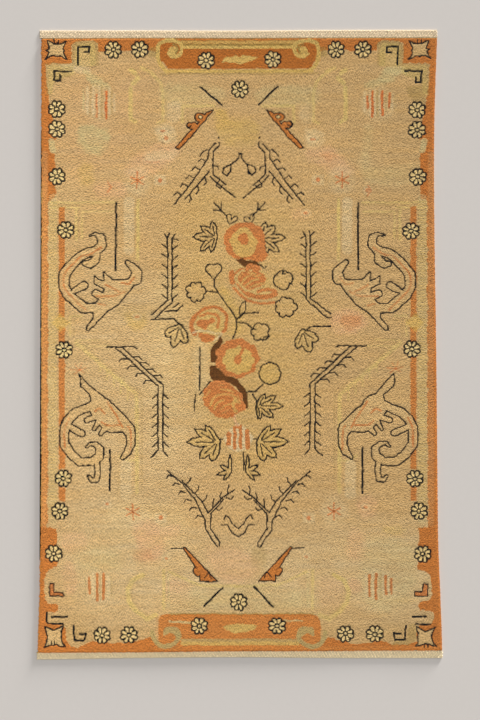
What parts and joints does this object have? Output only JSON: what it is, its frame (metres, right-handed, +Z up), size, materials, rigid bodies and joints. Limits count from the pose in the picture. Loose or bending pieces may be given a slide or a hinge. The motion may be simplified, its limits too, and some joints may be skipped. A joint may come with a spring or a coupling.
{
  "type": "khotan rug",
  "caption": "Hand-knotted wool rug in faded camel tones, with a patterned pile body that widens towards one end and a narrow flat-woven cream band at each end, laid flat",
  "frame": {"origin": "under the middle of the rug's bounding box, on the surface that it lies on", "axes": "+X across the rug, +Y along it towards the far, narrower end, +Z up out of the pile"},
  "size_m": [1.252, 1.9448, 0.0098],
  "materials": {
    "camel_wool": "short cut wool pile, sun-faded camel, matt"
  },
  "bodies": {
    "root": {"rug_body": "camel_wool"}
  },
  "joints": []
}
